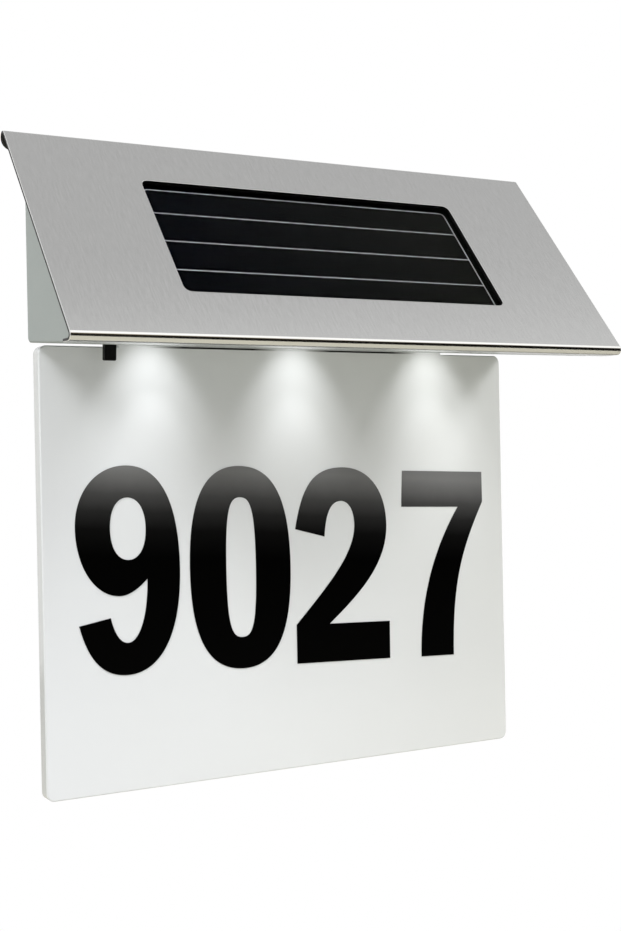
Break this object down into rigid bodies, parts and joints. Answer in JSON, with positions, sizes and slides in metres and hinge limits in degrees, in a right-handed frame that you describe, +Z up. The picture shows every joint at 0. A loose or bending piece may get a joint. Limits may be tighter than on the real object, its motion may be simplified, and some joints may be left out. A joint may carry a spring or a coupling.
{
  "type": "solar house number light",
  "caption": "Wall-hung house number light: a folded metal canopy with a solar panel over a wedge-shaped lamp housing, and a white acrylic panel with black numerals lit from above.",
  "frame": {"origin": "on the wall plane, midway between the centres of the two keyhole entries", "axes": "+Z up, +Y into the wall, so -Y faces the viewer, and +X to the viewer's right"},
  "size_m": [0.205, 0.063, 0.2164],
  "materials": {
    "canopy": "fine brushed stainless, grain up and down the slope",
    "housing": "satin silver-grey",
    "acrylic": "gloss, milky white",
    "vinyl": "gloss black film",
    "screw": "plain steel",
    "foam": "matt black foam",
    "glass": "clear polished",
    "silicon": "near black",
    "backboard": "pale grey laminate",
    "cover": "fine matt grey",
    "board": "green solder mask",
    "chip": "matt black",
    "ferrite": "dark grey",
    "led": "clear epoxy",
    "switch": "black",
    "holder": "black",
    "pad": "white foam tape",
    "cell": "green sleeve over a can",
    "contact": "plated spring steel",
    "wire_red": "satin insulation",
    "wire_black": "satin insulation"
  },
  "bodies": {
    "lamp": {"canopy": "canopy", "housing": "housing", "number_panel": "acrylic", "panel_screws": "screw", "window_gasket": "foam", "solar_glass": "glass", "solar_cells": "silicon", "solar_backboard": "backboard", "back_cover": "cover", "cover_seal": "foam", "cover_screws": "screw", "circuit_board": "board", "board_screws": "screw", "control_chip": "chip", "inductor": "ferrite", "led_left": "led", "led_centre": "led", "led_right": "led", "switch_body": "switch", "holder_pad": "pad", "battery_holder": "holder", "battery_cell": "cell", "battery_contact_plus": "contact", "battery_contact_minus": "contact", "solar_wire_red": "wire_red", "solar_wire_black": "wire_black", "battery_wire_red": "wire_red", "battery_wire_black": "wire_black", "numeral_nine": "vinyl", "numeral_zero": "vinyl", "numeral_two": "vinyl", "numeral_seven": "vinyl"},
    "switch_lever": {"switch_lever": "switch"}
  },
  "joints": [
    {"name": "switch_slide", "type": "slide", "parent": "lamp", "child": "switch_lever", "axis": [1, 0, 0], "range_m": [0, 0.0032]}
  ]
}
